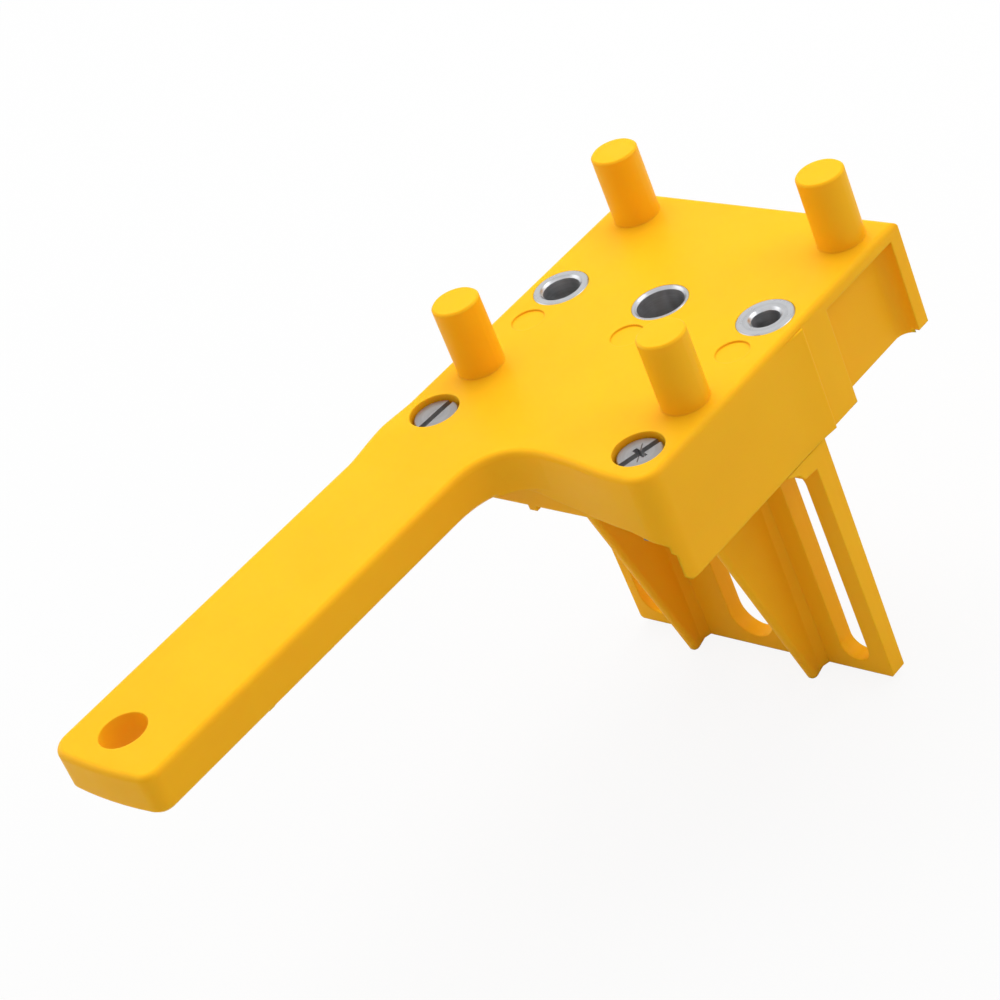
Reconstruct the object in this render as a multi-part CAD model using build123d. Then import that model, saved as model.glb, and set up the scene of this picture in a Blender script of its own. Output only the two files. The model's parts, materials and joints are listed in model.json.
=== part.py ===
from build123d import *
import os

# Dowel jig, millimetres. The origin is on the plate's top surface at the axis of the middle sleeve.
# X runs along the row of sleeves, Y away from the handle, Z up out of the plate.

# Plate and skirt
HALF_W = 35.0
FAR_Y = 34.3
NEAR_Y = -50.8
NEAR_CORNER_R = 4.8
SADDLE_Y = -48.3
SADDLE_X = 6.0
PLATE_T = 3.5
WALL = 3.0
SKIRT_BOTTOM = -25.0
FAR_WALL_BOTTOM = -24.3
EDGE_R = 1.3

# Handle
HANDLE_LEFT = -34.9
HANDLE_RIGHT = -6.9
HANDLE_SKEW = 0.5
HANDLE_END = -147.5
HANDLE_BOTTOM = -9.2
HANDLE_MERGE_Y = -62.0
HANDLE_UNDER_EDGE = 0.8
UNDER_END_Y = -52.5
CREASE_Y = -48.7
HANDLE_DIP_Y = -60.0
HANDLE_DIP_Z = -0.45
HANDLE_END_Z = -0.3
HANDLE_ROOF = -3.5
BULGE_Y = -49.5
BULGE_X = -35.9
END_LEFT_R = 4.6
END_RIGHT_R = 3.4
END_BOW = 1.0
HANG_HOLE_R = 4.9
HANG_HOLE = (-23.1, -137.7)
HANG_BOSS_R = 7.6
HANDLE_RIB_T = 1.6
HANDLE_RIB_PITCH = 17.0
HANDLE_RIB_COUNT = 4

# Pins, sleeves, screws and nuts
PITCH = 26.7
PIN_R = 5.0
PIN_H = 15.8
PIN_TOP_EDGE = 0.4
SLEEVE_OD = 12.0
SLEEVE_LENGTH = 25.0
SLEEVE_PROUD = 0.15
SLEEVE_BORES = {"sleeve_8mm": (-PITCH, 8.0), "sleeve_10mm": (0.0, 10.0), "sleeve_6mm": (PITCH, 6.0)}
SLEEVE_FIT = 0.02
SLEEVE_LIP = 0.35
BOSS_R = 8.4
SCREW_Y = -42.0
HEAD_R = 4.75
HEAD_H = 3.0
HEAD_EDGE = 0.35
HEAD_DROP = 0.9
COUNTERBORE_R = 5.3
SHANK_R = 2.5
SHANK_LENGTH = 16.0
SHANK_CHAMFER = 0.5
SHANK_HOLE_R = 2.75
SCREW_BOSS_R = 7.0
SCREW_BOSS_BOTTOM = -13.0
BORE_REACH = -50.0
SLOT_W = 1.3
SLOT_DEPTH = 1.2
SCREW_TURN = {"left": 87.0, "right": 72.0}
NUT_SIDE = 8.0
NUT_T = 2.7
NUT_BORE_R = 2.58
NUT_CHAMFER = 0.6
NUT_GAP = 0.3

# Side pockets, centre marks and size marks
POCKET_NEAR = 8.0
POCKET_FAR = 31.0
POCKET_X = 31.0
POCKET_TOP = -2.8
POCKET_WALL = 2.4
POCKET_CORNER_R = 3.0
MARK_RISE = 0.7
MARK_START = -9.0
MARK_TOP = -1.3
MARK_STEP = 0.2
MARK_CREST_R = 0.45
SIZE_MARK_R = 3.55
SIZE_MARK_Y = -11.2
SIZE_MARK_DEPTH = 0.35

# Ribs under the plate
RIB_T = 2.0
ROW_RIB_BOTTOM = -22.0
FAR_RIB_BOTTOM = -14.0
NEAR_RIB_BOTTOM = -11.5
NEAR_RIB_X = 13.35

# Opening in the near wall: right half of its edge as (X, Z) points, from the crest outwards
MOUTH_ARCH = [(0.0, -10.2), (5.7, -11.5), (12.0, -12.5), (18.0, -13.1)]
MOUTH_LEVEL = (25.0, -13.15)
MOUTH_BEND = [(25.0, -13.15), (29.4, -14.1), (33.2, -16.0)]
MOUTH_SIDE = [(33.2, -16.0), (33.45, -16.4), (33.45, -17.8), (33.95, -18.65), (33.95, -23.8), (34.6, -25.0)]
MOUTH_DEPTH = 6.0

# Fence: the flange that slides through that opening
FLANGE_CREST = -10.65
FLANGE_ARCH = [(0.0, FLANGE_CREST), (5.7, -11.9), (12.0, -12.95), (18.0, -13.5)]
FLANGE_LEVEL = (25.0, -13.55)
FLANGE_RIM = (31.0, -15.1)
FLANGE_BOTTOM = -16.5
FLANGE_NEAR = -46.1
FLANGE_CORNER_R = 3.0
FLANGE_CORE_X = 11.0
FLANGE_CORE_TOP = -14.6
FLANGE_EDGE_T = 2.2
TRAVEL = 16.0
CLAMP_SLOT_R = 2.8
RAIL_T = 1.6
RAIL_DROP = 2.0
RAIL_GAP = 0.3
RAIL_NEAR = -44.6
TAB_X = -4.4
TAB_W = 2.0
TAB_DEPTH = 1.2

# Fence: the shelf under the skirt and the slotted stop
WEB_NEAR = -17.0
WEB_FAR = -14.0
SHELF_TOP = -25.3
SHELF_BOTTOM = -29.3
SHELF_BREAK = (-13.3, -27.2)
SHELF_TOE = (-12.2, -29.0)
STOP_TOP_LEFT = -34.5
STOP_FOOT_LEFT = -33.6
STOP_RIGHT = 34.8
STOP_FACE = -3.6
STOP_BACK_TOP = -8.3
STOP_BACK_FOOT = -7.5
STOP_FOOT = -84.3
STOP_CORNER_R = {"left": 0.9, "right": 0.6}
SLOT_FOOT = -81.6
SLOT_CLEARANCE = 1.2
SLOT_TOP = -31.0
GUSSET_X = 16.0
GUSSET_NOSE_W = 2.6
GUSSET_ROOT_W = 4.4
GUSSET_ROOT_T = 2.5
GUSSET_TOE = -85.5
GUSSET_TOE_Y = -12.1
GUSSET_SLOPE = 0.272

SIDES = (-1, 1)
LONG = 200.0


def box(x0, x1, y0, y1, z0, z1):
    """A block between two corners."""
    return Pos((x0 + x1) / 2, (y0 + y1) / 2, (z0 + z1) / 2) * Box(x1 - x0, y1 - y0, z1 - z0)


def post(x, y, radius, z0, z1):
    """An upright round post."""
    return Pos(x, y, (z0 + z1) / 2) * Cylinder(radius, z1 - z0)


def raised(face, z0, z1):
    """Stands a plan face up between two heights."""
    return Pos(0, 0, z0) * extrude(face, amount=z1 - z0, dir=(0, 0, 1))


def across(points, x0, x1):
    """A (Y, Z) polygon carried across from x0 to x1."""
    face = make_face(Polyline(*[(x0, y, z) for y, z in points], close=True))
    return extrude(face, amount=x1 - x0, dir=(1, 0, 0))


def through(points, y0, y1):
    """An (X, Z) polygon carried through from y0 to y1."""
    face = make_face(Polyline(*[(x, y0, z) for x, z in points], close=True))
    return extrude(face, amount=y1 - y0, dir=(0, 1, 0))


def near_right_edge(inset=0.0):
    """Right edge, rounded near corner and the S that ends at the saddle."""
    side = HALF_W - inset
    near = NEAR_Y + inset
    radius = NEAR_CORNER_R - inset
    return [
        Line((side, FAR_Y - inset), (side, near + radius)),
        RadiusArc((side, near + radius), (side - radius, near), radius),
        Spline((side - radius, near), (SADDLE_X, SADDLE_Y + inset), tangents=[(-1, 0), (-1, 0)]),
    ]


def full_outline(inset=0.0):
    """Plan of plate and handle, whose end is bowed and a little skewed."""
    low = HANDLE_END + END_BOW + inset
    root = (SADDLE_X, SADDLE_Y + inset)
    right = (HANDLE_RIGHT - inset, HANDLE_MERGE_Y)
    left = (HANDLE_LEFT + inset, HANDLE_MERGE_Y)
    end_right = (right[0] - HANDLE_SKEW, low)
    end_left = (left[0] - HANDLE_SKEW, low)
    end_mid = ((end_left[0] + end_right[0]) / 2, HANDLE_END + inset)
    bulge = (BULGE_X + inset, BULGE_Y)
    plain_left = (inset - HALF_W, BULGE_Y + 10)
    far_left = (inset - HALF_W, FAR_Y - inset)
    far_right = (HALF_W - inset, FAR_Y - inset)
    along = (-HANDLE_SKEW, low - HANDLE_MERGE_Y)
    back = (HANDLE_SKEW, HANDLE_MERGE_Y - low)
    edges = near_right_edge(inset) + [
        Spline(root, right, tangents=[(-1, 0), along]),
        Line(right, end_right),
        ThreePointArc(end_right, end_mid, end_left),
        Line(end_left, left),
        Spline(left, bulge, tangents=[back, (0, 1)]),
        Spline(bulge, plain_left, tangents=[(0, 1), (0, 1)]),
        Line(plain_left, far_left),
        Line(far_left, far_right),
    ]
    plan = make_face(edges)
    left_corner, right_corner = plan.vertices().group_by(Axis.Y)[0].sort_by(Axis.X)
    plan = fillet(right_corner, END_RIGHT_R - inset)
    left_corner = plan.vertices().sort_by_distance(left_corner)[0]
    return fillet(left_corner, END_LEFT_R - inset)


def skirt_outline(inset=0.0):
    """Plan of the skirt below the handle: the right half and its mirror image."""
    right = near_right_edge(inset)
    left = [mirror(edge, Plane.YZ) for edge in right]
    saddle = Line((SADDLE_X, SADDLE_Y + inset), (-SADDLE_X, SADDLE_Y + inset))
    far = Line((inset - HALF_W, FAR_Y - inset), (HALF_W - inset, FAR_Y - inset))
    return make_face(right + left + [saddle, far])


def upper_blank():
    """Plate and handle as deep as the handle, with the handle's sunk top and rounded rims."""
    blank = raised(full_outline(), HANDLE_BOTTOM, 0)
    end = HANDLE_END - 3
    lid = [(CREASE_Y, 0), (HANDLE_DIP_Y, HANDLE_DIP_Z), (end, HANDLE_END_Z), (end, 5), (CREASE_Y, 5)]
    blank -= across(lid, -LONG / 2, LONG / 2)
    rim = [e for e in blank.edges() if e.center().Z > -1 and not runs_across(e)]
    blank = fillet(rim, EDGE_R)
    lower_end = blank.edges().group_by(Axis.Z)[0].group_by(Axis.Y)[0]
    rounded = chamfer(lower_end, HANDLE_UNDER_EDGE)
    return rounded + (blank & box(-LONG, LONG, UNDER_END_Y, LONG, -LONG, LONG))


def runs_across(edge):
    """True for the edges across the top where the handle starts to fall and where it levels."""
    extent = edge.bounding_box()
    in_range = HANDLE_DIP_Y - 1 < edge.center().Y < CREASE_Y + 1
    return in_range and extent.size.X > HALF_W / 2 and extent.size.Y < 0.1


def skirt():
    """Walls below the handle's depth, still solid inside."""
    return raised(skirt_outline(), SKIRT_BOTTOM, HANDLE_BOTTOM)


def hollow():
    """What is cored out of plate and handle from beneath."""
    plan = raised(full_outline(WALL), SKIRT_BOTTOM - 1, -PLATE_T)
    roof = box(-LONG, LONG, -LONG, CREASE_Y - WALL, HANDLE_ROOF, 0)
    return plan - roof + raised(skirt_outline(WALL), SKIRT_BOTTOM - 1, HANDLE_BOTTOM)


def arched(arch, level, bend, side, low, y0, y1):
    """A block whose top follows an arch and bends down to its sides, the same left and right."""
    half = [Spline(*[(x, y0, z) for x, z in arch], tangents=[(1, 0, 0), (1, 0, 0)])]
    half.append(Line((arch[-1][0], y0, arch[-1][1]), (level[0], y0, level[1])))
    if len(bend) > 2:
        half.append(Spline(*[(x, y0, z) for x, z in bend], tangents=[(1, 0, 0), (1, 0, -1)]))
    else:
        half.append(Line(*[(x, y0, z) for x, z in bend]))
    half.append(Polyline(*[(x, y0, z) for x, z in side], (side[-1][0], y0, low)))
    edges = [edge for piece in half for edge in piece.edges()]
    edges += [mirror(edge, Plane.YZ) for edge in edges]
    edges.append(Line((-side[-1][0], y0, low), (side[-1][0], y0, low)))
    return extrude(make_face(edges), amount=y1 - y0, dir=(0, 1, 0))


def mouth():
    """The opening in the near wall that the fence's flange slides through."""
    near = NEAR_Y - 1
    far = NEAR_Y + MOUTH_DEPTH
    return arched(MOUTH_ARCH, MOUTH_LEVEL, MOUTH_BEND, MOUTH_SIDE, SKIRT_BOTTOM - 1, near, far)


def pocket_walls(side):
    """Inner wall of one side pocket and the solid ends its rounded corners are cut from."""
    inner = sorted((side * (POCKET_X - POCKET_WALL), side * POCKET_X))
    reach = sorted((side * (POCKET_X - POCKET_WALL), side * (HALF_W - 1)))
    walls = box(*inner, POCKET_NEAR, POCKET_FAR, SKIRT_BOTTOM, -1)
    walls += box(*reach, POCKET_NEAR - WALL, POCKET_NEAR + POCKET_CORNER_R, SKIRT_BOTTOM, -1)
    return walls + box(*reach, POCKET_FAR - POCKET_CORNER_R, FAR_Y - 1, SKIRT_BOTTOM, -1)


def pocket_cut(side):
    """The recess in the outside of one side wall."""
    reach = sorted((side * POCKET_X, side * (HALF_W + 5)))
    cut = box(*reach, POCKET_NEAR, POCKET_FAR, SKIRT_BOTTOM - 1, POCKET_TOP)
    inner = [e for e in cut.edges().filter_by(Axis.Z) if abs(e.center().X) < POCKET_X + 1]
    return fillet(inner, POCKET_CORNER_R)


def centre_mark(side):
    """Ramp on a side wall, hollow towards its crest, whose step stands in line with the sleeves."""
    foot = HALF_W - 1
    start = (HALF_W, MARK_START)
    crest = (HALF_W + MARK_RISE, -MARK_STEP)
    edges = [
        TangentArc(start, crest, tangent=(0, 1)),
        Line(crest, (HALF_W, 0)),
        Line((HALF_W, 0), (foot, 0)),
        Line((foot, 0), (foot, MARK_START)),
        Line((foot, MARK_START), start),
    ]
    plan = make_face(edges)
    plan = fillet(plan.vertices().sort_by(Axis.X)[-1], MARK_CREST_R)
    if side < 0:
        plan = mirror(plan, Plane.YZ)
    return raised(plan, SKIRT_BOTTOM, MARK_TOP)


def plate_ribs():
    """Ribs that tie sleeve bosses, walls and pins together under the plate."""
    half = RIB_T / 2
    ribs = box(-HALF_W + 1, HALF_W - 1, -half, half, ROW_RIB_BOTTOM, -1)
    ribs += box(-half, half, 0, FAR_Y - 1, FAR_RIB_BOTTOM, -1)
    for side in SIDES:
        x = side * NEAR_RIB_X
        ribs += box(x - half, x + half, SADDLE_Y + 1, 0, NEAR_RIB_BOTTOM, -1)
    return ribs


def handle_ribs():
    """Cross ribs and the boss round the hanging hole, inside the handle."""
    left, right = HANDLE_LEFT + 1, HANDLE_RIGHT - 1
    half = HANDLE_RIB_T / 2
    ribs = box(left, right, CREASE_Y - WALL, CREASE_Y, HANDLE_BOTTOM, -1.5)
    for i in range(HANDLE_RIB_COUNT):
        y = CREASE_Y - (i + 1) * HANDLE_RIB_PITCH
        ribs += box(left, right, y - half, y + half, HANDLE_BOTTOM, -3)
    return ribs + post(*HANG_HOLE, HANG_BOSS_R, HANDLE_BOTTOM, -3)


def pin(x, y):
    """One solid pin with its top edge broken."""
    shape = post(x, y, PIN_R, -1, PIN_H)
    return chamfer(shape.edges().sort_by(Axis.Z)[-1], PIN_TOP_EDGE)


def size_mark(x):
    """The shallow round recess that carries the size of one sleeve."""
    return post(x, SIZE_MARK_Y, SIZE_MARK_R, -SIZE_MARK_DEPTH, 1)


def build_body():
    """The one moulding: plate, skirt, handle and pins."""
    body = upper_blank() + skirt()
    body -= hollow()
    inside = plate_ribs() + handle_ribs()
    for side in SIDES:
        inside += pocket_walls(side)
        inside += post(side * PITCH, SCREW_Y, SCREW_BOSS_R, SCREW_BOSS_BOTTOM, -1)
    for x, _ in SLEEVE_BORES.values():
        inside += post(x, 0, BOSS_R, SKIRT_BOTTOM, -1)
    envelope = raised(full_outline(), HANDLE_BOTTOM, -0.5)
    envelope += raised(skirt_outline(), SKIRT_BOTTOM, HANDLE_BOTTOM)
    body += inside & envelope
    body -= box(-LONG, LONG, POCKET_FAR, LONG, -LONG, FAR_WALL_BOTTOM)
    for side in SIDES:
        body -= pocket_cut(side)
        body += centre_mark(side)
        for y in (-PITCH, PITCH):
            body += pin(side * PITCH, y)
        body -= post(side * PITCH, SCREW_Y, SHANK_HOLE_R, BORE_REACH, 1)
        body -= post(side * PITCH, SCREW_Y, COUNTERBORE_R, -HEAD_DROP - HEAD_H, 1)
    for x, _ in SLEEVE_BORES.values():
        body -= post(x, 0, SLEEVE_OD / 2 + SLEEVE_FIT, SKIRT_BOTTOM - 1, 1)
        body -= size_mark(x)
    body -= post(*HANG_HOLE, HANG_HOLE_R, HANDLE_BOTTOM - 1, 1)
    body -= mouth()
    return body


def build_sleeve(x, bore):
    """One hardened sleeve: both top edges and the lower outer one broken, the lower mouth sharp."""
    top, bottom = SLEEVE_PROUD, SLEEVE_PROUD - SLEEVE_LENGTH
    sleeve = post(x, 0, SLEEVE_OD / 2, bottom, top) - post(x, 0, bore / 2, bottom - 1, top + 1)
    circles = sleeve.edges().filter_by(GeomType.CIRCLE)
    rims = [e for e in circles if e.center().Z > 0 or e.radius > bore / 2 + 0.1]
    return chamfer(rims, SLEEVE_LIP)


def build_screw(side, turn):
    """Flat-headed machine screw with its driver slot."""
    seat = -HEAD_DROP - HEAD_H
    crown = -HEAD_DROP
    head = post(0, 0, HEAD_R, seat, crown)
    head = chamfer(head.edges().sort_by(Axis.Z)[-1], HEAD_EDGE)
    slot = Pos(0, 0, crown) * Box(3 * HEAD_R, SLOT_W, 2 * SLOT_DEPTH)
    head -= Rot(0, 0, turn) * slot
    shank = post(0, 0, SHANK_R, seat - SHANK_LENGTH, seat + 0.5)
    shank = chamfer(shank.edges().sort_by(Axis.Z)[0], SHANK_CHAMFER)
    return Pos(side * PITCH, SCREW_Y, 0) * (head + shank)


def build_nut(side):
    """Square nut under the fence's flange."""
    top = FLANGE_BOTTOM - NUT_GAP
    nut = Pos(side * PITCH, SCREW_Y, top - NUT_T / 2) * Box(NUT_SIDE, NUT_SIDE, NUT_T)
    nut = chamfer(nut.edges().filter_by(Axis.Z), NUT_CHAMFER)
    return nut - post(side * PITCH, SCREW_Y, NUT_BORE_R, top - NUT_T - 1, top + 1)


def flange():
    """The part under the plate that the two screws clamp, arched to fill the near wall's opening."""
    side_edge = [FLANGE_RIM, (FLANGE_RIM[0], FLANGE_BOTTOM + 0.1)]
    bend = [FLANGE_LEVEL, FLANGE_RIM]
    plate = arched(FLANGE_ARCH, FLANGE_LEVEL, bend, side_edge, FLANGE_BOTTOM, FLANGE_NEAR, WEB_FAR)
    corners = [e for e in plate.edges().filter_by(Axis.Z) if e.center().Y < FLANGE_NEAR + 1]
    plate = fillet(corners, FLANGE_CORNER_R)
    near = FLANGE_NEAR + FLANGE_EDGE_T
    far = WEB_NEAR - FLANGE_EDGE_T
    plate -= box(-FLANGE_CORE_X, FLANGE_CORE_X, near, far, FLANGE_BOTTOM - 1, FLANGE_CORE_TOP)
    for side in SIDES:
        plate -= clamp_slot(side * PITCH)
        rail = side * (PITCH - NUT_SIDE / 2 - RAIL_GAP)
        edges = sorted((rail, rail - side * RAIL_T))
        plate += box(*edges, RAIL_NEAR, WEB_NEAR, FLANGE_BOTTOM - RAIL_DROP, FLANGE_BOTTOM)
    half = TAB_W / 2
    tab = box(TAB_X - half, TAB_X + half, FLANGE_NEAR, WEB_NEAR, FLANGE_BOTTOM - TAB_DEPTH, FLANGE_CORE_TOP)
    return plate + tab


def clamp_slot(x):
    """The long hole that lets the flange slide past one screw."""
    near, far = SCREW_Y, SCREW_Y + TRAVEL
    ends = post(x, near, CLAMP_SLOT_R, BORE_REACH, 0) + post(x, far, CLAMP_SLOT_R, BORE_REACH, 0)
    return ends + box(x - CLAMP_SLOT_R, x + CLAMP_SLOT_R, near, far, BORE_REACH, 0)


def stop():
    """The upright stop with its three rounded slots, narrower at its foot."""
    profile = [
        (STOP_FACE, SHELF_TOP),
        (STOP_FACE, STOP_FOOT),
        (STOP_BACK_FOOT, STOP_FOOT),
        (STOP_BACK_TOP, SHELF_BOTTOM),
        (STOP_BACK_TOP, SHELF_TOP),
    ]
    front = [
        (STOP_TOP_LEFT, SHELF_TOP),
        (STOP_RIGHT, SHELF_TOP),
        (STOP_RIGHT, STOP_FOOT),
        (STOP_FOOT_LEFT, STOP_FOOT),
    ]
    plate = across(profile, STOP_TOP_LEFT, STOP_RIGHT) & through(front, STOP_BACK_TOP - 1, 0)
    left_edge = plate.edges().filter_by(Axis.Y).group_by(Axis.Z)[0].sort_by(Axis.X)[0]
    plate = fillet(left_edge, STOP_CORNER_R["left"])
    right_edge = plate.edges().filter_by(Axis.Y).group_by(Axis.Z)[0].sort_by(Axis.X)[-1]
    plate = fillet(right_edge, STOP_CORNER_R["right"])
    for x, bore in SLEEVE_BORES.values():
        radius = (bore + SLOT_CLEARANCE) / 2
        slot = box(x - radius, x + radius, STOP_BACK_TOP - 5, 0, SLOT_FOOT, SLOT_TOP)
        plate -= fillet(slot.edges().filter_by(Axis.Y), radius - 0.05)
    return plate


def shelf():
    """The step under the skirt, tapered to nothing at its near edge."""
    profile = [
        (STOP_FACE, SHELF_TOP),
        (WEB_NEAR, SHELF_TOP),
        SHELF_BREAK,
        SHELF_TOE,
        (STOP_BACK_TOP, SHELF_BOTTOM),
        (STOP_FACE, SHELF_BOTTOM),
    ]
    return across(profile, STOP_TOP_LEFT, STOP_RIGHT)


def nose_y(z):
    """How far the front edge of a gusset reaches at one height."""
    return GUSSET_TOE_Y - GUSSET_SLOPE * (z - GUSSET_TOE)


def gusset(x):
    """One rib behind the stop, wide at its root, that leans out to the flange."""
    inner = STOP_FACE - 1
    side_view = [
        (inner, STOP_FOOT),
        (STOP_BACK_FOOT, STOP_FOOT),
        (GUSSET_TOE_Y, GUSSET_TOE),
        (nose_y(FLANGE_BOTTOM), FLANGE_BOTTOM),
        (WEB_FAR, FLANGE_BOTTOM),
        (inner, SHELF_BOTTOM),
    ]
    nose_half = GUSSET_NOSE_W / 2
    rib = across(side_view, -nose_half, nose_half)
    front = [e for e in rib.edges() if abs(e.center().Y - nose_y(e.center().Z)) < 0.1]
    nose = [e for e in front if e.length > GUSSET_NOSE_W * 2]
    rib = fillet(nose, nose_half - 0.2)
    back = STOP_BACK_FOOT
    half = GUSSET_ROOT_W / 2
    half_root = [(half, back + 1), (half, back), (nose_half, back - GUSSET_ROOT_T)]
    other = [(-px, py) for px, py in reversed(half_root)]
    root = make_face(Polyline(*half_root, *other, close=True))
    return Pos(x, 0, 0) * (rib + raised(root, STOP_FOOT, SHELF_BOTTOM))


def build_fence():
    """The adjustable stop, one moulding."""
    web = box(-FLANGE_RIM[0], FLANGE_RIM[0], WEB_NEAR, WEB_FAR, SHELF_TOP - 1, FLANGE_BOTTOM)
    fence = flange() + web + shelf() + stop()
    for side in SIDES:
        fence += gusset(side * GUSSET_X)
    return fence


def save(name, shape):
    """Writes one finished piece."""
    solids = shape.solids()
    print(name, len(solids), "solid", round(shape.volume, 1), "mm3", "valid", shape.is_valid)
    export_step(shape, "parts/" + name + ".step")


os.makedirs("parts", exist_ok=True)
save("body", build_body())
save("fence", build_fence())
for name, (x, bore) in SLEEVE_BORES.items():
    save(name, build_sleeve(x, bore))
for label, side in (("left", -1), ("right", 1)):
    save("clamp_screw_" + label, build_screw(side, SCREW_TURN[label]))
    save("square_nut_" + label, build_nut(side))
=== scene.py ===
import json
import math

import bmesh
import bpy
from mathutils import Matrix, Vector


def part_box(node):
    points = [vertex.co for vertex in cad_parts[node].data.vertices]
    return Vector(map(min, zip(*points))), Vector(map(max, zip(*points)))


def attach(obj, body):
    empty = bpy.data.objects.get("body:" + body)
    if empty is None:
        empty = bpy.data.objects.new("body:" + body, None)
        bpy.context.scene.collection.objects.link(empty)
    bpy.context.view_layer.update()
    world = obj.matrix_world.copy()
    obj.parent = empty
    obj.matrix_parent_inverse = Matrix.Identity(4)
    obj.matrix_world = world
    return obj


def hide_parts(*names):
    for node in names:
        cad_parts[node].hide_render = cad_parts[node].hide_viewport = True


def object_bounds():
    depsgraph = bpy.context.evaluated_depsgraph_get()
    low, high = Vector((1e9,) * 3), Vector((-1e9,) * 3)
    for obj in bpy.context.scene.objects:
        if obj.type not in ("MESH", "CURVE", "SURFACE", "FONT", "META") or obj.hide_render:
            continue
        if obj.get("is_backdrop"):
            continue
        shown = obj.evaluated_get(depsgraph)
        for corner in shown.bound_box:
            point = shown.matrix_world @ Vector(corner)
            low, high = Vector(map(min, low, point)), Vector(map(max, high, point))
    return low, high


bl_info = {
    "name": "Dowel Jig",
    "version": (1, 0, 0),
    "blender": (4, 5, 0),
    "location": "View3D > Sidebar > Dowel Jig",
    "description": "Finishes the dowel jig: plastic, drill sleeves, clamp screws and a studio",
    "category": "Object",
}

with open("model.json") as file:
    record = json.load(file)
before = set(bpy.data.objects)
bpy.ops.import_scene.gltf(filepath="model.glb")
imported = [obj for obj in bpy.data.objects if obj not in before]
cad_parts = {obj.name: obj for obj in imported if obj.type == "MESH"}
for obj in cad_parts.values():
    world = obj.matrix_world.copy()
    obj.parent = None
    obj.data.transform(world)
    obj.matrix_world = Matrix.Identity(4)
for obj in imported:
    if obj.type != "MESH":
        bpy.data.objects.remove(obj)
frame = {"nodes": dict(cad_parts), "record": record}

MM = 0.001
MOUNTS = {mount["name"]: mount for mount in frame["record"]["mounts"]}
SLEEVES = ("sleeve_8mm", "sleeve_10mm", "sleeve_6mm")
SIDES = ("left", "right")
SMOOTH_ANGLE = math.radians(35)

# Distances within which points of a mesh count as one
MERGE = 0.001 * MM
TOUCH = 0.01 * MM
SLIVER_MERGE = 0.004 * MM
SLIVER_WIDTH = 0.002 * MM

# Steps in a full turn, and segments of a rounding
SLEEVE_STEPS = 96
SCREW_STEPS = 64
THREAD_STEPS = 28
ROUND_SEGMENTS = 4
SEAT_SEGMENTS = 2
FLOOR_SEGMENTS = 64

# Cosine between the true and the softened normal, on a flat and on an edge
FLAT_COSINE = 0.995
EDGE_COSINE = 0.8
BEVEL_SAMPLES = 6

# Plastic: how fine each noise is, per metre, and how much it does
RUB_SCALE = 900.0
RUB_ROUGHER = 0.12
CLOUD_SCALE = 35.0
SPECK_SCALE = 700.0
SPECK_SHARE = 0.12
SCUFF_SCALE = 160.0
SCUFF_SMOOTHER = 0.04
SCUFF_ROUGHER = 0.07
GRAIN_SCALE = 2600.0
WAVE_SCALE = 55.0
WAVE_DEPTH = 0.12 * MM

# Steel: its smears, shades and edges
SMEAR_SCALE = 420.0
SMEAR_SMOOTHER = 0.04
SMEAR_ROUGHER = 0.06
RING_SHARE = 0.6
DARKER = 0.82
STEEL_EDGE = 0.12 * MM
BORE_EDGE = 0.3 * MM
BORE_ROUGHER = 0.18

# Roughness of each steel, its turning lines per metre and their depth
SLEEVE_FINISH = (0.3, 2400.0, 0.002 * MM)
SCREW_FINISH = (0.42, 1500.0, 0.004 * MM)
NUT_FINISH = (0.55, 900.0, 0.006 * MM)

# Driver slots: their turn in degrees, their cutter's length in head radii, which screw has the
# cross recess, its size against the slot's depth, and the length, width and depth of its fine line
SLOT_TURNS = {"left": 87.0, "right": 72.0}
SLOT_REACH = 2.4
CROSSED = "right"
CROSS_LENGTH = 3.8 * MM
CROSS_WIDTH = 1.1 * MM
CROSS_DEEPER = 1.2
HAIRLINE = (5.8 * MM, 0.2 * MM, 0.25 * MM)

# Shanks: chamfer at the tip, rounding under the head, plain part under it, and how deep the
# thread's ridge is set into the core
TIP = 0.6 * MM
SEAT_ROUNDING = 0.2 * MM
THREAD_END = 0.8 * MM
THREAD_SINK = 0.1 * MM

# Heights on the thread's section, as shares of its pitch
THREAD_FOOT = 0.9
THREAD_CREST = (0.4, 0.52)

# Studio: place and size of each lamp, the point that all of them face, the floor's radius, how
# much of its glow reflections see, and the share of the glow in what the camera sees
KEY_LAMP = ((-0.3, 0.42, 0.85), 1.0)
LEFT_LAMP = ((-0.7, -0.4, 0.3), 0.6)
RIGHT_LAMP = ((0.55, 0.45, 0.6), 0.5)
LAMP_AIM = Vector((0, -0.04, -0.03))
FLOOR_RADIUS = 6.0
FLOOR_MIRRORED = 0.3
FLOOR_GLOW = 0.9
WHITE = (1, 1, 1, 1)

# The photograph's view, in the object's frame
CAMERA_PLACE = (0.3960, -0.3563, 0.3081)
CAMERA_RIGHT = (0.7233, 0.6047, -0.3334)
CAMERA_UP = (-0.1532, 0.6113, 0.7764)
CAMERA_BACK = (0.6733, -0.5106, 0.5348)
SENSOR_WIDTH = 36.0
NEAREST_SEEN = 0.05
FARTHEST_SEEN = 20.0


class Value:
    """The output of a node, which Python expressions can work on."""

    def __init__(self, paint, socket):
        self.paint = paint
        self.socket = socket

    def maths(self, operation, first, second=0.0):
        return self.paint.node("ShaderNodeMath", {"operation": operation}, {0: first, 1: second})

    def larger(self, other):
        return self.maths("MAXIMUM", self, other)

    def __add__(self, other):
        return self.maths("ADD", self, other)

    def __mul__(self, other):
        return self.maths("MULTIPLY", self, other)

    def __pow__(self, other):
        return self.maths("POWER", self, other)

    __radd__ = __add__
    __rmul__ = __mul__


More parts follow.
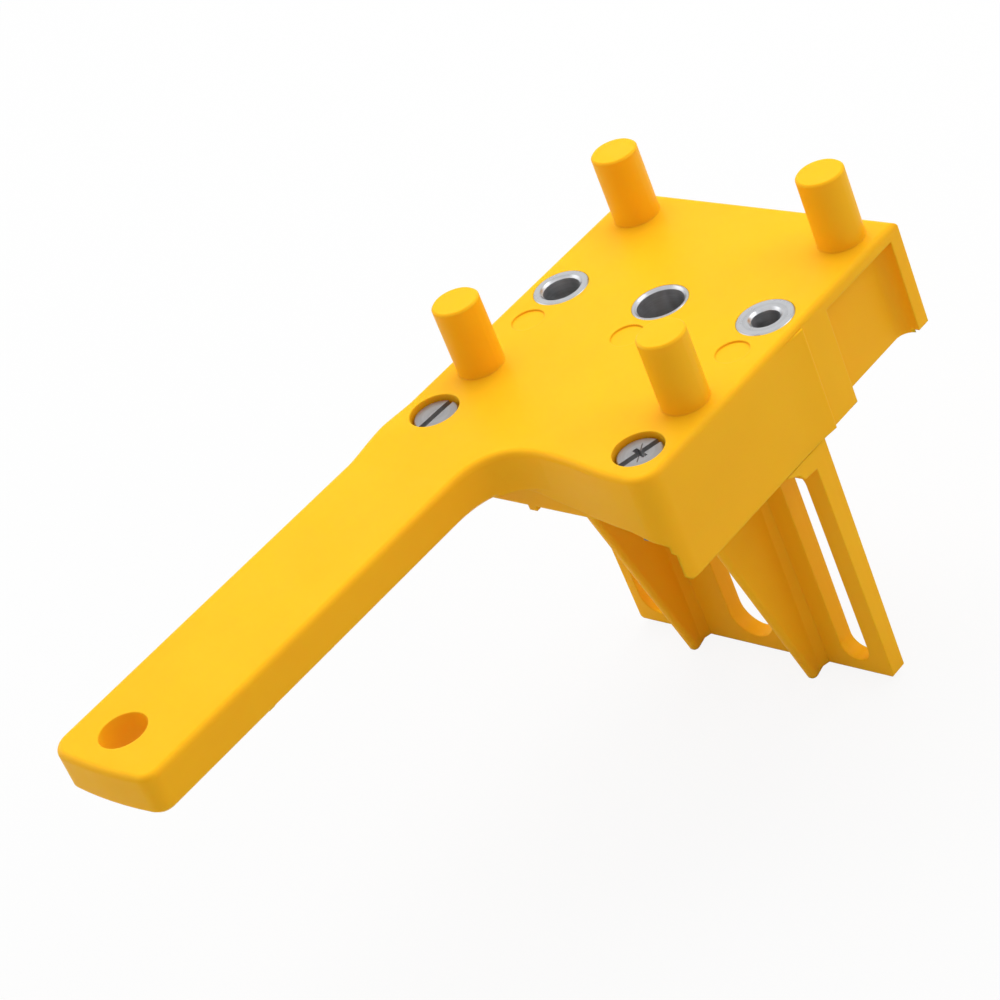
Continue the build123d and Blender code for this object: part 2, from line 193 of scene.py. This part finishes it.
class Paint:
    """A material, or the world, while its nodes are put together."""

    def __init__(self, owner):
        self.owner = owner
        owner.use_nodes = True
        self.tree = owner.node_tree
        self.tree.nodes.clear()

    def node(self, kind, settings=None, inputs=None, output=0):
        """Adds a node, with its settings first and then the values or links of its sockets."""
        made = self.tree.nodes.new(kind)
        for key, value in (settings or {}).items():
            setattr(made, key, value)
        for key, value in (inputs or {}).items():
            if isinstance(value, Value):
                self.tree.links.new(value.socket, made.inputs[key])
            else:
                made.inputs[key].default_value = value
        return Value(self, made.outputs[output]) if made.outputs else None

    def show(self, shader, kind="ShaderNodeOutputMaterial"):
        """Puts a shader on the output."""
        self.node(kind, inputs={"Surface": shader})

    def place(self):
        return self.node("ShaderNodeTexCoord", output="Object")

    def split(self, vector):
        """The X, Y and Z of a vector."""
        inputs = {0: vector}
        return [self.node("ShaderNodeSeparateXYZ", inputs=inputs, output=axis) for axis in range(3)]

    def noise(self, where, scale, detail=2.0, rough=0.5):
        inputs = {"Vector": where, "Scale": scale, "Detail": detail, "Roughness": rough}
        return self.node("ShaderNodeTexNoise", inputs=inputs)

    def ramp(self, value, low, high, out_low=0.0, out_high=1.0):
        """Maps low..high smoothly onto out_low..out_high."""
        settings = {"interpolation_type": "SMOOTHSTEP"}
        inputs = {"Value": value, "From Min": low, "From Max": high}
        inputs.update({"To Min": out_low, "To Max": out_high})
        return self.node("ShaderNodeMapRange", settings, inputs)

    def blend(self, factor, first, second):
        """Goes from one colour to another."""
        inputs = {0: factor, 6: first, 7: second}
        return self.node("ShaderNodeMix", {"data_type": "RGBA"}, inputs, output=2)

    def soft_normal(self, radius):
        return self.node("ShaderNodeBevel", {"samples": BEVEL_SAMPLES}, {"Radius": radius})

    def edges(self, soft):
        """One on an edge, nothing on a flat."""
        flat = self.node("ShaderNodeNewGeometry", output="Normal")
        dot = {"operation": "DOT_PRODUCT"}
        facing = self.node("ShaderNodeVectorMath", dot, {0: soft, 1: flat}, output="Value")
        return self.ramp(facing, FLAT_COSINE, EDGE_COSINE)

    def bump(self, height, distance, normal):
        inputs = {"Height": height, "Distance": distance, "Normal": normal, "Strength": 1.0}
        return self.node("ShaderNodeBump", inputs=inputs)

    def seen(self, mirrored=1.0):
        """One where the camera or a clear material looks, mirrored in reflections, else nothing."""
        camera, glossy, clear = (
            self.node("ShaderNodeLightPath", output="Is %s Ray" % kind)
            for kind in ("Camera", "Glossy", "Transmission")
        )
        return camera.larger(clear.larger(glossy * mirrored))

    def finish(self, **sockets):
        """Shows a Principled shader with these sockets, and gives back the material."""
        inputs = {key.replace("_", " "): value for key, value in sockets.items()}
        self.show(self.node("ShaderNodeBsdfPrincipled", inputs=inputs))
        return self.owner


def rgba(colour):
    return (*colour[:3], 1.0)


def moulded_plastic(name):
    """Satin yellow plastic with moulding grain, flow clouds and slightly rubbed edges."""
    look = bpy.context.scene.jig_plastic
    paint = Paint(bpy.data.materials.new(name))
    where = paint.place()
    soft = paint.soft_normal(look.edge_radius)
    rubbed = paint.edges(soft) * paint.ramp(paint.noise(where, RUB_SCALE, 3.0), 0.35, 0.7)
    clouds = paint.noise(where, CLOUD_SCALE, 3.0, 0.55)
    specks = paint.ramp(paint.noise(where, SPECK_SCALE), 0.72, 0.8)
    colour = paint.blend(paint.ramp(clouds, 0.3, 0.7), rgba(look.colour_deep), rgba(look.colour))
    colour = paint.blend(specks * SPECK_SHARE, colour, rgba(look.colour_deep))
    colour = paint.blend(rubbed * look.wear, colour, rgba(look.colour_rubbed))
    scuffs = paint.noise(where, SCUFF_SCALE, 4.0, 0.6)
    smoothest = look.roughness - SCUFF_SMOOTHER
    rough = paint.ramp(scuffs, 0.3, 0.75, smoothest, look.roughness + SCUFF_ROUGHER)
    waves = paint.noise(where, WAVE_SCALE, 1.0)
    grain = paint.noise(where, GRAIN_SCALE, 2.0, 0.6)
    normal = paint.bump(grain, look.grain_depth, paint.bump(waves, WAVE_DEPTH, soft))
    return paint.finish(
        Base_Color=colour,
        Roughness=rough + rubbed * RUB_ROUGHER,
        Normal=normal,
        IOR=1.5,
        Specular_IOR_Level=0.07,
        Subsurface_Weight=0.35,
        Subsurface_Radius=(1.0, 0.35, 0.05),
        Subsurface_Scale=0.0025,
    )


def turned_steel(name, colour, finish, centre, bore=0.0):
    """Steel with the fine rings of turning or grinding round its axis, duller in its bore."""
    rough, line_scale, line_depth = finish
    paint = Paint(bpy.data.materials.new(name))
    where = paint.place()
    soft = paint.soft_normal(STEEL_EDGE)
    shift = {"Vector": where, "Location": (-centre[0], -centre[1], 0.0)}
    x, y, z = paint.split(paint.node("ShaderNodeMapping", inputs=shift))
    radius = (x * x + y * y) ** 0.5
    lines = {0: radius * line_scale, 1: 0.0, 2: z * line_scale}
    rings = paint.noise(paint.node("ShaderNodeCombineXYZ", inputs=lines), 1.0, 3.0, 0.6)
    smear = paint.noise(where, SMEAR_SCALE, 3.0, 0.6)
    tone = paint.ramp(rings * RING_SHARE + smear * (1.0 - RING_SHARE), 0.35, 0.65)
    darker = tuple(c * DARKER for c in colour)
    shade = paint.blend(tone, rgba(darker), rgba(colour))
    roughness = paint.ramp(smear, 0.3, 0.7, rough - SMEAR_SMOOTHER, rough + SMEAR_ROUGHER)
    if bore:
        roughness = roughness + paint.ramp(radius, bore + BORE_EDGE, bore, 0.0, BORE_ROUGHER)
    normal = paint.bump(rings, line_depth, soft)
    return paint.finish(Base_Color=shade, Metallic=1.0, Roughness=roughness, Normal=normal)


def new_piece(name, bm, material, body, node):
    """Makes a finished piece from a bmesh, hides its CAD node and hangs the piece on the given
    body.
    """
    mesh = bpy.data.meshes.new(name)
    bm.to_mesh(mesh)
    bm.free()
    mesh.materials.append(material)
    piece = bpy.data.objects.new(name, mesh)
    bpy.context.scene.collection.objects.link(piece)
    mesh.shade_smooth()
    mesh.set_sharp_from_angle(angle=SMOOTH_ANGLE)
    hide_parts(node)
    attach(piece, body)
    return piece


def outline(bm, centre, points, closed):
    """Joins (radius, height) points by edges, beside the axis through centre."""
    corners = [bm.verts.new((centre[0] + radius, centre[1], height)) for radius, height in points]
    for first, second in zip(corners, corners[1:]):
        bm.edges.new((first, second))
    if closed:
        bm.edges.new((corners[-1], corners[0]))


def turn_round(bm, centre, steps):
    """Spins everything in the bmesh a full turn about the upright axis through centre."""
    bmesh.ops.spin(
        bm,
        geom=bm.verts[:] + bm.edges[:],
        cent=centre,
        axis=(0, 0, 1),
        angle=math.tau,
        steps=steps,
        use_merge=True,
        use_duplicate=False,
    )
    bmesh.ops.remove_doubles(bm, verts=bm.verts[:], dist=MERGE)
    bmesh.ops.recalc_face_normals(bm, faces=bm.faces[:])


def circle_edges(bm, centre, radius, height):
    """The edges of one circle on a turned piece."""

    def on_circle(vert):
        away = (vert.co.xy - Vector(centre[:2])).length
        return abs(away - radius) < TOUCH and abs(vert.co.z - height) < TOUCH

    return [edge for edge in bm.edges if all(on_circle(vert) for vert in edge.verts)]


def round_over(bm, edges, offset, segments):
    bmesh.ops.bevel(
        bm, geom=edges, offset=offset, affect="EDGES", segments=segments, profile=0.5, material=-1
    )


class JigPlastic(bpy.types.PropertyGroup):
    colour: bpy.props.FloatVectorProperty(
        name="Colour",
        description="Main colour of the moulding",
        default=(0.95, 0.485, 0.012),
        subtype="COLOR",
    )
    colour_deep: bpy.props.FloatVectorProperty(
        name="Deep colour",
        description="Colour in the darker flow clouds",
        default=(0.93, 0.46, 0.012),
        subtype="COLOR",
    )
    colour_rubbed: bpy.props.FloatVectorProperty(
        name="Rubbed colour",
        description="Colour of rubbed edges",
        default=(0.97, 0.53, 0.03),
        subtype="COLOR",
    )
    wear: bpy.props.FloatProperty(
        name="Wear", description="How far the edges are rubbed", default=0.2, subtype="FACTOR"
    )
    roughness: bpy.props.FloatProperty(
        name="Roughness", description="Roughness of the surface", default=0.42, subtype="FACTOR"
    )
    grain_depth: bpy.props.FloatProperty(
        name="Grain depth",
        description="Depth of the moulding grain",
        default=0.012 * MM,
        unit="LENGTH",
    )
    edge_radius: bpy.props.FloatProperty(
        name="Edge radius",
        description="Softness of the moulded edges",
        default=0.5 * MM,
        unit="LENGTH",
    )


class JigSteel(bpy.types.PropertyGroup):
    sleeve_colour: bpy.props.FloatVectorProperty(
        name="Sleeve colour",
        description="Colour of the ground sleeves",
        default=(0.58, 0.59, 0.61),
        subtype="COLOR",
    )
    screw_colour: bpy.props.FloatVectorProperty(
        name="Screw colour",
        description="Colour of the plated screws",
        default=(0.43, 0.43, 0.44),
        subtype="COLOR",
    )
    nut_colour: bpy.props.FloatVectorProperty(
        name="Nut colour",
        description="Colour of the plain nuts",
        default=(0.24, 0.24, 0.245),
        subtype="COLOR",
    )
    lip: bpy.props.FloatProperty(
        name="Lip",
        description="Chamfer round the top of each sleeve's bore",
        default=0.55 * MM,
        unit="LENGTH",
    )
    rim_radius: bpy.props.FloatProperty(
        name="Rim radius",
        description="Rounding of the sleeves' outer edges",
        default=0.3 * MM,
        unit="LENGTH",
    )
    head_height: bpy.props.FloatProperty(
        name="Head height",
        description="Height of a screw's head",
        default=3.0 * MM,
        unit="LENGTH",
    )
    head_rounding: bpy.props.FloatProperty(
        name="Head rounding",
        description="Rounding of a screw head's rim",
        default=0.4 * MM,
        unit="LENGTH",
    )
    shank_width: bpy.props.FloatProperty(
        name="Shank width",
        description="Outer diameter of the thread",
        default=5.0 * MM,
        unit="LENGTH",
    )
    slot_width: bpy.props.FloatProperty(
        name="Slot width",
        description="Width of the driver slot",
        default=1.5 * MM,
        unit="LENGTH",
    )
    slot_depth: bpy.props.FloatProperty(
        name="Slot depth",
        description="Depth of the driver slot",
        default=1.3 * MM,
        unit="LENGTH",
    )
    thread_pitch: bpy.props.FloatProperty(
        name="Thread pitch",
        description="Rise of the thread in one turn",
        default=0.8 * MM,
        unit="LENGTH",
    )
    thread_depth: bpy.props.FloatProperty(
        name="Thread depth",
        description="Depth of the thread",
        default=0.4 * MM,
        unit="LENGTH",
    )


class JigStudio(bpy.types.PropertyGroup):
    floor_colour: bpy.props.FloatVectorProperty(
        name="Floor colour",
        description="Colour of the floor",
        default=(0.68, 0.68, 0.68),
        subtype="COLOR",
    )
    key_power: bpy.props.FloatProperty(
        name="Key light", description="Power of the key light", default=9.4, unit="POWER"
    )
    left_power: bpy.props.FloatProperty(
        name="Left fill",
        description="Power of the fill light at the left",
        default=1.3,
        unit="POWER",
    )
    right_power: bpy.props.FloatProperty(
        name="Right fill",
        description="Power of the fill light at the right",
        default=1.8,
        unit="POWER",
    )
    ambient: bpy.props.FloatProperty(
        name="Ambient", description="Strength of the room light", default=0.57, subtype="FACTOR"
    )
    lens: bpy.props.FloatProperty(
        name="Lens", description="Focal length of the camera", default=111.32, unit="CAMERA"
    )


class JIG_OT_body(bpy.types.Operator):
    """Gives the plate, its pins and the handle their plastic"""

    bl_idname = "jig.body"
    bl_label = "Body"

    def execute(self, context):
        body = frame["nodes"]["body"]
        body.data.materials.clear()
        body.data.materials.append(moulded_plastic("body_plastic"))
        return {"FINISHED"}


class JIG_OT_fence(bpy.types.Operator):
    """Gives the sliding fence its plastic"""

    bl_idname = "jig.fence"
    bl_label = "Fence"

    def execute(self, context):
        fence = frame["nodes"]["fence"]
        fence.data.materials.clear()
        fence.data.materials.append(moulded_plastic("fence_plastic"))
        return {"FINISHED"}


class JIG_OT_sleeves(bpy.types.Operator):
    """Turns the three drill sleeves, with chamfered bores and rounded rims"""

    bl_idname = "jig.sleeves"
    bl_label = "Drill sleeves"

    def execute(self, context):
        steel = context.scene.jig_steel
        for node in SLEEVES:
            low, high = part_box(node)
            centre = ((low.x + high.x) / 2, 0.0, 0.0)
            outer = (high.x - low.x) / 2
            inner = MOUNTS[node.replace("sleeve", "drill_bore")]["dims"]["r_mm"] * MM
            section = [(inner, low.z), (outer, low.z), (outer, high.z), (inner, high.z)]
            bm = bmesh.new()
            outline(bm, centre, section, closed=True)
            turn_round(bm, centre, SLEEVE_STEPS)
            rims = circle_edges(bm, centre, outer, low.z) + circle_edges(bm, centre, outer, high.z)
            round_over(bm, rims, steel.rim_radius, ROUND_SEGMENTS)
            round_over(bm, circle_edges(bm, centre, inner, high.z), steel.lip, 1)
            colour = steel.sleeve_colour
            finish = turned_steel(node + "_steel", colour, SLEEVE_FINISH, centre, inner)
            new_piece(node + "_turned", bm, finish, "jig", node)
        return {"FINISHED"}


class JIG_OT_screws(bpy.types.Operator):
    """Makes the two clamp screws with their flat heads, driver slots and threads"""

    bl_idname = "jig.screws"
    bl_label = "Clamp screws"

    def execute(self, context):
        steel = context.scene.jig_steel
        for side in SIDES:
            node = "clamp_screw_" + side
            low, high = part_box(node)
            centre = Vector(((low.x + high.x) / 2, (low.y + high.y) / 2, 0.0))
            radius = (high.x - low.x) / 2
            bm = bmesh.new()
            self.blank(bm, centre, radius, low.z, high.z, steel)
            finish = turned_steel(node + "_steel", steel.screw_colour, SCREW_FINISH, centre)
            piece = new_piece(node + "_cut", bm, finish, "screw_" + side, node)
            head = Matrix.Translation((centre.x, centre.y, high.z))
            turned = head @ Matrix.Rotation(math.radians(SLOT_TURNS[side]), 4, "Z")
            self.cut_slots(piece, turned, radius, side == CROSSED, steel)
        return {"FINISHED"}

    def blank(self, bm, centre, radius, bottom, top, steel):
        """Head with its rounded rim, the core of the shank and the thread round it."""
        shank = steel.shank_width / 2
        seat = top - steel.head_height
        core = shank - steel.thread_depth
        tip = bottom + TIP
        half = [(0, top), (radius, top), (radius, seat), (core, seat)]
        half += [(core, tip), (core - TIP, bottom), (0, bottom)]
        outline(bm, centre, half, closed=False)
        turn_round(bm, centre, SCREW_STEPS)
        round_over(bm, circle_edges(bm, centre, radius, top), steel.head_rounding, ROUND_SEGMENTS)
        round_over(bm, circle_edges(bm, centre, radius, seat), SEAT_ROUNDING, SEAT_SEGMENTS)
        self.thread(bm, centre, core, shank, tip, seat - THREAD_END, steel.thread_pitch)

    def thread(self, bm, centre, core, crest, low, high, pitch):
        """One ridge that winds round the core, from a section with a foot and a narrow crest."""
        turns = int((high - low) / pitch) - 1
        inner = core - THREAD_SINK
        foot = low + pitch * THREAD_FOOT
        crest_low, crest_high = (low + pitch * share for share in THREAD_CREST)
        section = ((inner, low), (inner, foot), (crest, crest_high), (crest, crest_low))
        corners = [bm.verts.new((centre.x + away, centre.y, height)) for away, height in section]
        face = bm.faces.new(corners)
        bmesh.ops.spin(
            bm,
            geom=[face] + list(face.edges) + list(face.verts),
            cent=centre,
            axis=(0, 0, 1),
            dvec=Vector((0, 0, pitch / THREAD_STEPS)),
            angle=math.tau * turns,
            steps=THREAD_STEPS * turns,
            use_duplicate=False,
        )
        bmesh.ops.holes_fill(bm, edges=[edge for edge in bm.edges if edge.is_boundary])
        bmesh.ops.recalc_face_normals(bm, faces=bm.faces[:])

    def cut_slots(self, piece, head, radius, crossed, steel):
        """Cuts the driver slot and, on the crossed one, the cross recess and its hairline."""
        cuts = [(radius * SLOT_REACH, steel.slot_width, steel.slot_depth, 0)]
        if crossed:
            cuts.append((CROSS_LENGTH, CROSS_WIDTH, steel.slot_depth * CROSS_DEEPER, 90))
            cuts.append((*HAIRLINE, 45))
        bm = bmesh.new()
        for length, width, depth, degrees in cuts:
            turned = head @ Matrix.Rotation(math.radians(degrees), 4, "Z")
            size = Matrix.Diagonal((length, width, depth * 2, 1.0))
            bmesh.ops.create_cube(bm, size=1.0, matrix=turned @ size)
        mesh = bpy.data.meshes.new("slot_cutter")
        bm.to_mesh(mesh)
        bm.free()
        cutter = bpy.data.objects.new("slot_cutter", mesh)
        bpy.context.scene.collection.objects.link(cutter)
        cut = piece.modifiers.new("slots", "BOOLEAN")
        cut.operation = "DIFFERENCE"
        cut.solver = "EXACT"
        cut.use_self = True
        cut.object = cutter
        graph = bpy.context.evaluated_depsgraph_get()
        carved = bpy.data.meshes.new_from_object(piece.evaluated_get(graph))
        self.clean(carved)
        piece.modifiers.clear()
        piece.data = carved
        bpy.data.objects.remove(cutter)

    def clean(self, mesh):
        """Takes out the slivers without area that the cut leaves."""
        bm = bmesh.new()
        bm.from_mesh(mesh)
        bmesh.ops.remove_doubles(bm, verts=bm.verts[:], dist=SLIVER_MERGE)
        bmesh.ops.dissolve_degenerate(bm, edges=bm.edges[:], dist=SLIVER_WIDTH)
        bmesh.ops.triangulate(bm, faces=bm.faces[:])
        bm.to_mesh(mesh)
        bm.free()
        mesh.set_sharp_from_angle(angle=SMOOTH_ANGLE)


class JIG_OT_nuts(bpy.types.Operator):
    """Gives the two square nuts their steel"""

    bl_idname = "jig.nuts"
    bl_label = "Square nuts"

    def execute(self, context):
        steel = context.scene.jig_steel
        for side in SIDES:
            node = "square_nut_" + side
            low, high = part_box(node)
            centre = ((low.x + high.x) / 2, (low.y + high.y) / 2, 0.0)
            nut = frame["nodes"][node]
            nut.data.materials.clear()
            finish = turned_steel(node + "_steel", steel.nut_colour, NUT_FINISH, centre)
            nut.data.materials.append(finish)
        return {"FINISHED"}


class JIG_OT_studio(bpy.types.Operator):
    """Sets up the floor, the lights and the camera"""

    bl_idname = "jig.studio"
    bl_label = "Studio"

    def execute(self, context):
        studio = context.scene.jig_studio
        self.floor(studio)
        self.room(studio)
        self.lamp("key_light", *KEY_LAMP, studio.key_power).visible_glossy = False
        self.lamp("left_fill", *LEFT_LAMP, studio.left_power)
        self.lamp("right_fill", *RIGHT_LAMP, studio.right_power)
        self.camera(studio)
        context.scene.view_settings.view_transform = "Standard"
        return {"FINISHED"}

    def floor(self, studio):
        """A round sheet of paper under the object, white to the camera apart from the shadow."""
        bm = bmesh.new()
        bmesh.ops.create_circle(bm, cap_ends=True, segments=FLOOR_SEGMENTS, radius=FLOOR_RADIUS)
        low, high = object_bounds()
        bmesh.ops.translate(bm, verts=bm.verts[:], vec=(0, 0, low.z))
        mesh = bpy.data.meshes.new("floor")
        bm.to_mesh(mesh)
        bm.free()
        floor = bpy.data.objects.new("floor", mesh)
        bpy.context.scene.collection.objects.link(floor)
        paint = Paint(bpy.data.materials.new("floor_paper"))
        matte = paint.node("ShaderNodeBsdfDiffuse", inputs={"Color": rgba(studio.floor_colour)})
        glow = paint.node("ShaderNodeEmission", inputs={"Color": WHITE, "Strength": 1.0})
        mixed = {0: paint.seen(FLOOR_MIRRORED) * FLOOR_GLOW, 1: matte, 2: glow}
        paint.show(paint.node("ShaderNodeMixShader", inputs=mixed))
        mesh.materials.append(paint.owner)
        floor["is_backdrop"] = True

    def room(self, studio):
        """White to the camera and in reflections, soft room light on the object."""
        world = bpy.data.worlds.new("room")
        bpy.context.scene.world = world
        paint = Paint(world)
        strength = studio.ambient + paint.seen() * (1.0 - studio.ambient)
        back = paint.node("ShaderNodeBackground", inputs={"Color": WHITE, "Strength": strength})
        paint.show(back, "ShaderNodeOutputWorld")

    def lamp(self, name, place, size, power):
        """A square soft box that faces the object."""
        light = bpy.data.lights.new(name, "AREA")
        light.shape = "SQUARE"
        light.size = size
        light.energy = power
        lamp = bpy.data.objects.new(name, light)
        bpy.context.scene.collection.objects.link(lamp)
        lamp.location = place
        lamp.rotation_euler = (LAMP_AIM - Vector(place)).to_track_quat("-Z", "Y").to_euler()
        return lamp

    def camera(self, studio):
        """The camera that took the photograph, as fitted to it."""
        data = bpy.data.cameras.new("camera")
        data.lens = studio.lens
        data.sensor_width = SENSOR_WIDTH
        data.clip_start = NEAREST_SEEN
        data.clip_end = FARTHEST_SEEN
        camera = bpy.data.objects.new("camera", data)
        bpy.context.scene.collection.objects.link(camera)
        turn = Matrix((CAMERA_RIGHT, CAMERA_UP, CAMERA_BACK)).transposed().to_4x4()
        camera.matrix_world = Matrix.Translation(CAMERA_PLACE) @ turn
        bpy.context.scene.camera = camera


class JIG_PT_panel(bpy.types.Panel):
    """Lists the steps that finish the dowel jig"""

    bl_idname = "JIG_PT_panel"
    bl_label = "Dowel Jig"
    bl_space_type = "VIEW_3D"
    bl_region_type = "UI"
    bl_category = "Dowel Jig"

    def draw(self, context):
        for group in (getattr(context.scene, name) for name in GROUPS):
            box = self.layout.box()
            for key in group.__annotations__:
                box.prop(group, key)
        for step in STEPS:
            self.layout.operator(step.bl_idname)


GROUPS = {"jig_plastic": JigPlastic, "jig_steel": JigSteel, "jig_studio": JigStudio}
STEPS = (JIG_OT_body, JIG_OT_fence, JIG_OT_sleeves, JIG_OT_screws, JIG_OT_nuts, JIG_OT_studio)


def register():
    for name, group in GROUPS.items():
        bpy.utils.register_class(group)
        setattr(bpy.types.Scene, name, bpy.props.PointerProperty(type=group))
    for step in STEPS:
        bpy.utils.register_class(step)
    bpy.utils.register_class(JIG_PT_panel)


def unregister():
    bpy.utils.unregister_class(JIG_PT_panel)
    for step in reversed(STEPS):
        bpy.utils.unregister_class(step)
    for name, group in GROUPS.items():
        delattr(bpy.types.Scene, name)
        bpy.utils.unregister_class(group)


def main():
    """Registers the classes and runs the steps."""
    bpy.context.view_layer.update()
    register()
    bpy.ops.jig.body()
    bpy.ops.jig.fence()
    bpy.ops.jig.sleeves()
    bpy.ops.jig.screws()
    bpy.ops.jig.nuts()
    bpy.ops.jig.studio()
    bpy.context.view_layer.update()


if __name__ == "__main__":
    main()
